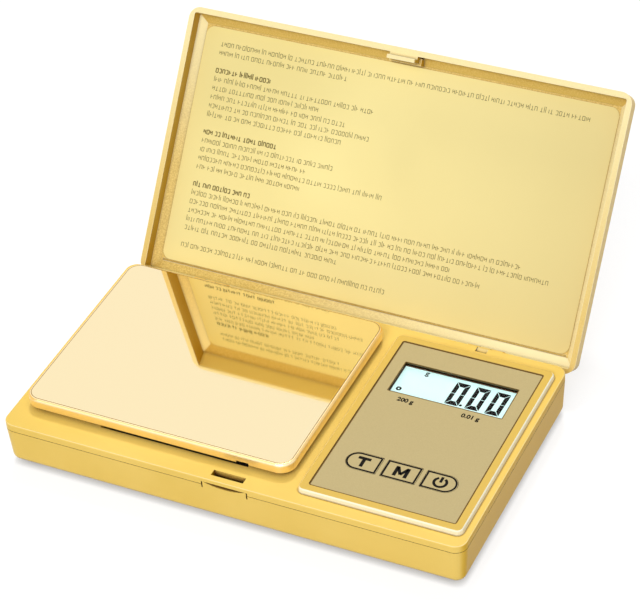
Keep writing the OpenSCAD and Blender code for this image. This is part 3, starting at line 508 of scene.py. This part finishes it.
def makeDisplayGlow(s):
    material, tree, shader = newMaterial("litDisplay", s["colour"], s["roughness"])
    shader.inputs["Emission Color"].default_value = linear(*s["glow"])
    shader.inputs["Emission Strength"].default_value = s["strength"]
    cloud = noise(tree, objectPlace(tree), s["clouds"], 2)
    tree.links.new(ramp(tree, cloud, [(0.3, s["dark"]), (0.7, s["light"])]), shader.inputs["Base Color"])
    return material


clearWindow = {"colour": (255, 255, 255), "ior": 1.12, "smears": 200, "roughness": (0.0, 0.05)}


def makeClearWindow(s):
    material, tree, shader = newMaterial("clearWindow", s["colour"], 0.03, IOR=s["ior"], Transmission_Weight=1)
    smear = noise(tree, objectPlace(tree), s["smears"], 2)
    tree.links.new(spread(tree, smear, *s["roughness"]), shader.inputs["Roughness"])
    return material


printing = {"roughness": (0.5, 0.6), "scale": 2000, "depth": 0.000004}

materials = {
    "case": makeCaseGold(caseGold),
    "lid": makeLidGold(lidGold),
    "tray": makeTrayGold(trayGold),
    "label": makeFoilGold(foilGold),
    "film": makeFilmTan(filmTan),
    "display": makeDisplayGlow(displayGlow),
    "window": makeClearWindow(clearWindow),
    "ink": makeSpeckled("printInk", (8, 6, 5), (18, 15, 12), **printing, Specular_IOR_Level=0.08),
    "shadeLine": makeSpeckled("shadeLine", (106, 78, 34), (124, 94, 44), **printing, Specular_IOR_Level=0.1),
    "labelInk": makeSpeckled("labelInk", (98, 84, 40), (118, 104, 54), **printing, Specular_IOR_Level=0.1),
    "black": makeSpeckled("blackPlastic", (16, 15, 14), (30, 28, 26), (0.45, 0.6), 900, 0.00001),
    "rubber": makeSpeckled("footRubber", (22, 21, 20), (34, 32, 30), (0.75, 0.9), 700, 0.00002),
    "pad": makeSpeckled("foamPad", (196, 194, 184), (222, 220, 212), (0.8, 0.95), 1500, 0.00005),
    "steel": makeSpeckled("zincedSteel", (168, 168, 172), (200, 200, 204), (0.22, 0.4), 500, 0.000006, Metallic=1.0),
    "nickel": makeSpeckled("nickelStrip", (190, 186, 176), (212, 208, 198), (0.12, 0.28), 300, 0.000004,
                           Metallic=1.0),
    "alloy": makeSpeckled("milledAlloy", (186, 188, 192), (214, 216, 220), (0.28, 0.45), 800, 0.00001, Metallic=1.0),
    "resin": makeSpeckled("gaugeResin", (214, 212, 200), (236, 234, 224), (0.4, 0.6), 120, 0.00005),
    "board": makeSpeckled("boardGreen", (14, 74, 34), (24, 96, 46), (0.3, 0.45), 600, 0.00001),
    "guide": makeSpeckled("lightGuide", (226, 236, 244), (244, 250, 255), (0.3, 0.4), 300, 0.000004),
    "zebra": makeSpeckled("zebraRubber", (190, 132, 142), (214, 158, 168), (0.6, 0.7), 1200, 0.00001),
    "jacket": makeSpeckled("cellJacket", (34, 38, 52), (50, 56, 74), (0.25, 0.35), 400, 0.000004, Metallic=0.4),
    "wire": makeSpeckled("wireRed", (150, 24, 18), (186, 36, 26), (0.4, 0.5), 500, 0.000006),
}
nodeFinish = {
    "case": ["bottom_case", "top_case", "battery_door"],
    "lid": ["lid"],
    "tray": ["weighing_tray"],
    "label": ["lid_label"],
    "film": ["overlay_panel", "key_tare", "key_mode", "key_power"],
    "display": ["lcd_glass"],
    "window": ["display_window"],
    "black": ["lcd_holder", "tact_switches", "board_parts", "tray_carrier"],
    "rubber": ["rubber_feet"],
    "pad": ["tray_pads"],
    "steel": ["cell_screws", "overload_screw", "carrier_screws", "board_screws", "case_screws", "hinge_pins"],
    "nickel": ["bridge_contact", "terminal_contacts"],
    "alloy": ["load_cell"],
    "resin": ["gauge_covers"],
    "board": ["circuit_board"],
    "guide": ["backlight"],
    "zebra": ["zebra_strip"],
    "jacket": ["battery_left", "battery_right"],
    "wire": ["cell_lead", "battery_leads"],
}
for finish, members in nodeFinish.items():
    for member in members:
        for slot in nodes[member].material_slots:
            slot.material = materials[finish]
print("materials on all nodes")


# the rest is in millimetres, on the CAD model's own places
hinge = {"y": 37.14, "z": 11.34, "angle": 126.5}
panel = {"x": 39.75, "top": 15.1, "keyY": -17.0, "pitch": 10.3, "glassTop": 13.4}
inkHeight = 0.02


def newPiece(name, bm, material):
    mesh = bpy.data.meshes.new(name)
    bm.to_mesh(mesh)
    bm.free()
    mesh.materials.append(material)
    piece = bpy.data.objects.new(name, mesh)
    scene.collection.objects.link(piece)
    return piece


def flatPiece(name, bm, matrix, material, body):
    bmesh.ops.scale(bm, vec=(mm, mm, mm), verts=bm.verts)
    bmesh.ops.transform(bm, matrix=matrix, verts=bm.verts)
    bmesh.ops.recalc_face_normals(bm, faces=bm.faces)
    piece = newPiece(name, bm, material)
    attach(piece, body)


def raiseInk(bm):
    made = bmesh.ops.extrude_face_region(bm, geom=list(bm.faces))
    moved = [v for v in made["geom"] if isinstance(v, bmesh.types.BMVert)]
    bmesh.ops.translate(bm, vec=(0, 0, inkHeight), verts=moved)


def onBase(x, y, z):
    return Matrix.Translation((x * mm, y * mm, z * mm))


def onLid(x, y, z):
    pivot = Matrix.Translation((0, hinge["y"] * mm, hinge["z"] * mm))
    turn = Matrix.Rotation(math.radians(-hinge["angle"]), 4, "X")
    return pivot @ turn @ pivot.inverted() @ onBase(x, y, z) @ Matrix.Rotation(math.pi, 4, "X")


def addText(bm, text, size, x, y, bold):
    curve = bpy.data.curves.new("text", "FONT")
    curve.body = text
    curve.size = size
    curve.offset = bold
    curve.align_x = "CENTER"
    curve.align_y = "CENTER"
    curve.resolution_u = 4
    holder = bpy.data.objects.new("text", curve)
    scene.collection.objects.link(holder)
    mesh = bpy.data.meshes.new_from_object(holder.evaluated_get(bpy.context.evaluated_depsgraph_get()))
    bpy.data.objects.remove(holder)
    before = set(bm.verts)
    bm.from_mesh(mesh)
    bpy.data.meshes.remove(mesh)
    bmesh.ops.translate(bm, vec=(x, y, 0), verts=[v for v in bm.verts if v not in before])


def addPlate(bm, width, depth):
    made = bmesh.ops.create_grid(bm, x_segments=1, y_segments=1, size=0.5)
    bmesh.ops.scale(bm, vec=(width, depth, 1), verts=made["verts"])
    return made["verts"]


def addStroke(bm, start, end, wide):
    run = Vector(end) - Vector(start)
    corners = addPlate(bm, run.length, wide)
    turn = Matrix.Rotation(math.atan2(run.y, run.x), 3, "Z")
    bmesh.ops.rotate(bm, cent=(0, 0, 0), matrix=turn, verts=corners)
    middle = (Vector(start) + Vector(end)) / 2
    bmesh.ops.translate(bm, vec=(middle.x, middle.y, 0), verts=corners)


cellBend = {"seat": 12, "pieces": {"load_cell": "alloy", "gauge_covers": "resin"}}


def addBendingCell(s):
    # the bar under the tray and its gauge covers are copied into pieces of their own, and the originals hidden
    for member, finish in s["pieces"].items():
        bm = bmesh.new()
        bm.from_mesh(nodes[member].data)
        bmesh.ops.remove_doubles(bm, verts=bm.verts, dist=0.001 * mm)
        piece = newPiece(member + "_bending", bm, materials[finish])
        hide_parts(member)
        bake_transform(piece)


keyPrint = {
    "width": 8.7, "middleWidth": 9.0, "depth": 6.0, "line": 0.5, "nudge": 0.05, "roundSteps": 18,
    "letter": 3.5, "stroke": 0.92, "arm": 0.48, "leg": 0.54, "dip": 0.28, "slantStroke": 0.86,
    "signRadius": 1.6, "signStroke": 0.72, "signGap": 62, "signSteps": 30, "tickAt": 0.62, "tickHalf": 1,
}


def addOutline(bm, width, depth, roundSide, s):
    corners = addPlate(bm, width, depth)
    if roundSide:
        ends = [v for v in corners if v.co.x * roundSide > 0]
        bmesh.ops.bevel(bm, geom=ends, offset=depth / 2 - 0.01, segments=s["roundSteps"], profile=0.5,
                        affect="VERTICES", material=-1)
    face = max(bm.faces, key=lambda f: f.calc_area())
    bmesh.ops.inset_region(bm, faces=[face], thickness=s["line"], use_even_offset=True, use_boundary=True)
    bmesh.ops.delete(bm, geom=[max(bm.faces, key=lambda f: f.calc_area())], context="FACES")


def addLetter(bm, letter, s):
    size, wide = s["letter"], s["stroke"]
    half = size / 2
    if letter == "T":
        arm = s["arm"] * size
        addStroke(bm, (-arm, half - wide / 2), (arm, half - wide / 2), wide)
        addStroke(bm, (0, -half), (0, half - wide), wide)
    else:
        for side in (-1, 1):
            edge = side * s["leg"] * size
            leg = edge - side * wide / 2
            addStroke(bm, (leg, -half), (leg, half), wide)
            shoulder = (edge - side * wide * 0.7, half - wide * 0.35)
            addStroke(bm, shoulder, (0, -s["dip"] * size), wide * s["slantStroke"])


def addPowerSign(bm, s):
    radius, stroke = s["signRadius"], s["signStroke"]
    gap = math.radians(s["signGap"])
    start = Matrix.Rotation(gap / 2, 3, "Z") @ Vector((0, radius, 0))
    inner = bm.verts.new(start * (1 - stroke / 2 / radius))
    outer = bm.verts.new(start * (1 + stroke / 2 / radius))
    edge = bm.edges.new((inner, outer))
    bmesh.ops.spin(bm, geom=[inner, outer, edge], cent=(0, 0, 0), axis=up, angle=math.tau - gap, steps=s["signSteps"])
    middle = radius * s["tickAt"]
    addStroke(bm, (0, middle - s["tickHalf"]), (0, middle + s["tickHalf"]), stroke)


def addKeyPrints(s):
    for index, (name, sign) in enumerate([("key_tare", "T"), ("key_mode", "M"), ("key_power", "")]):
        bm = bmesh.new()
        addOutline(bm, s["middleWidth"] if index == 1 else s["width"], s["depth"], index - 1, s)
        if sign:
            addLetter(bm, sign, s)
        else:
            addPowerSign(bm, s)
        raiseInk(bm)
        place = onBase(panel["x"] + (index - 1) * panel["pitch"] - s["nudge"], panel["keyY"], panel["top"])
        flatPiece(name + "_print", bm, place, materials["ink"], name)


displayPrint = {
    "height": 8.9, "width": 3.9, "stroke": 1.3, "slant": 0.03, "gap": 0.07, "thicken": 1.3,
    "places": (40.7, 46.2, 51.6), "y": 16.45, "dot": (43.1, -3.75), "dotRadius": 0.4, "dotSteps": 12,
    "signs": [("g", 2.4, 30.5, 21.2, 0.05), ("o", 2.6, 25.8, 13.4, 0.14)],
}


def addZeroSign(bm, x, s):
    corners = addPlate(bm, s["width"], s["height"] / s["thicken"])
    middle = list({face for v in corners for face in v.link_faces})
    rim = bmesh.ops.inset_region(bm, faces=middle, thickness=s["stroke"], use_even_offset=True,
                                 use_boundary=True)["faces"]
    bmesh.ops.delete(bm, geom=middle, context="FACES")
    parts = rim + list({edge for face in rim for edge in face.edges}) + list({v for face in rim for v in face.verts})
    halved = bmesh.ops.bisect_plane(bm, geom=parts, plane_co=(0, 0, 0), plane_no=(0, 1, 0))["geom"]
    bars = [part for part in halved if isinstance(part, bmesh.types.BMFace)]
    seams = bmesh.ops.inset_individual(bm, faces=bars, thickness=s["gap"], use_even_offset=True)["faces"]
    bmesh.ops.delete(bm, geom=seams, context="FACES")
    corners = list({v for face in bars for v in face.verts})
    bmesh.ops.scale(bm, vec=(1, s["thicken"], 1), verts=corners)  # the bars that lie across get thicker
    bmesh.ops.translate(bm, vec=(x, 0, 0), verts=corners)


def addDisplayPrint(s):
    bm = bmesh.new()
    for x in s["places"]:
        addZeroSign(bm, x, s)
    dot = bmesh.ops.create_circle(bm, cap_ends=True, radius=s["dotRadius"], segments=s["dotSteps"])
    bmesh.ops.translate(bm, vec=(*s["dot"], 0), verts=dot["verts"])
    for v in bm.verts:
        v.co.x += v.co.y * s["slant"]
    raiseInk(bm)
    flatPiece("display_digits", bm, onBase(0, s["y"], panel["glassTop"]), materials["ink"], "base")
    bm = bmesh.new()
    for sign in s["signs"]:
        addText(bm, *sign)
    raiseInk(bm)
    flatPiece("display_units", bm, onBase(0, 0, panel["glassTop"]), materials["ink"], "base")


panelPrint = [("200 g", 2.0, 30.0, 7.8, 0.07), ("0.01 g", 2.0, 47.75, 7.7, 0.07)]


def addPanelPrint(values):
    bm = bmesh.new()
    for value in values:
        addText(bm, *value)
    raiseInk(bm)
    flatPiece("panel_print", bm, onBase(0, 0, panel["top"]), materials["ink"], "base")


# thin dark rings round the panel film and its window, as painted shade lines at their edges
panelBorder = {"inset": 0.04, "line": 0.3, "corner": 0.6}
windowBorder = {"inset": 1.1, "line": 0.24, "corner": 0.3}


def addBorder(name, box, s):
    low, high = box
    bm = bmesh.new()
    corners = addPlate(bm, (high[0] - low[0]) / mm - s["inset"], (high[1] - low[1]) / mm - s["inset"])
    bmesh.ops.bevel(bm, geom=corners, offset=s["corner"], segments=8, profile=0.5, affect="VERTICES", material=-1)
    middle = list(bm.faces)
    bmesh.ops.inset_region(bm, faces=middle, thickness=s["line"], use_even_offset=True, use_boundary=True)
    bmesh.ops.delete(bm, geom=middle, context="FACES")
    raiseInk(bm)
    place = onBase((low[0] + high[0]) / 2 / mm, (low[1] + high[1]) / 2 / mm, panel["top"])
    flatPiece(name, bm, place, materials["shadeLine"], "base")


# each line is bold or not, and its share of the label's width
labelPrint = {
    "left": -54.5, "right": 52, "top": 26.3, "pitch": 2.43, "size": 1.08, "seed": 7, "line": 0.14, "boldLine": 0.26,
    "word": (2, 8), "markGap": 0.4, "wordGap": 0.5, "face": 18.76,
    "lines": [(0, 0.98), (0, 0.34), None, (1, 0.16), (0, 0.42), (0, 0.30), (0, 0.36), (0, 0.44), (0, 0.35), None,
              (1, 0.2), (0, 0.36), (0, 0.3), (0, 0.5), (0, 0.26), None, (1, 0.15), (0, 0.86), (0, 0.98), (0, 0.72),
              (0, 0.8), (0, 0.4), None, (0, 0.55)],
}

# marks like small print that spell nothing: each is a few strokes, in parts of its height
printMarks = (
    (((0, 0), (0, 1)), ((0.6, 0), (0.6, 1)), ((0, 1), (0.6, 1)), ((0, 0), (0.6, 0))),
    (((0, 0), (0, 1)), ((0.6, 0), (0.6, 1)), ((0, 1), (0.6, 1))),
    (((0, 0), (0.6, 0)), ((0.3, 0), (0.3, 1))),
    (((0, 0), (0, 1.4)),),
    (((0, 0), (0.5, 0)), ((0.5, 0), (0.5, 1)), ((0, 1), (0.5, 1))),
    (((0, 0), (0, 1)), ((0, 0.5), (0.45, 0.5))),
    (((0, 0.2), (0, 1)), ((0, 0.6), (0.5, 0.6)), ((0.5, 0), (0.5, 1))),
    (((0, 0), (0, 0.9)),),
)


def addLabelPrint(s):
    rng = random.Random(s["seed"])
    bm = bmesh.new()
    size = s["size"]
    for row, line in enumerate(s["lines"]):
        if line is None:
            continue
        bold, share = line
        wide = s["boldLine"] if bold else s["line"]
        x = s["left"]
        y = s["top"] - row * s["pitch"]
        end = s["left"] + share * (s["right"] - s["left"])
        while x < end:
            for _ in range(rng.randint(*s["word"])):
                mark = rng.choice(printMarks)
                for start, finish in mark:
                    addStroke(bm, (x + start[0] * size, y + start[1] * size),
                              (x + finish[0] * size, y + finish[1] * size), wide)
                x += max(point[0] for stroke in mark for point in stroke) * size + s["markGap"]
            x += s["wordGap"]
    place = onLid(0, 0, s["face"]) @ Matrix.Translation((0, 0, inkHeight * mm))
    flatPiece("label_print", bm, place, materials["labelInk"], "lid")


addBendingCell(cellBend)
addKeyPrints(keyPrint)
addDisplayPrint(displayPrint)
addPanelPrint(panelPrint)
addBorder("panel_border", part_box("overlay_panel"), panelBorder)
addBorder("window_border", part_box("display_window"), windowBorder)
addLabelPrint(labelPrint)
print("load cell and prints added")
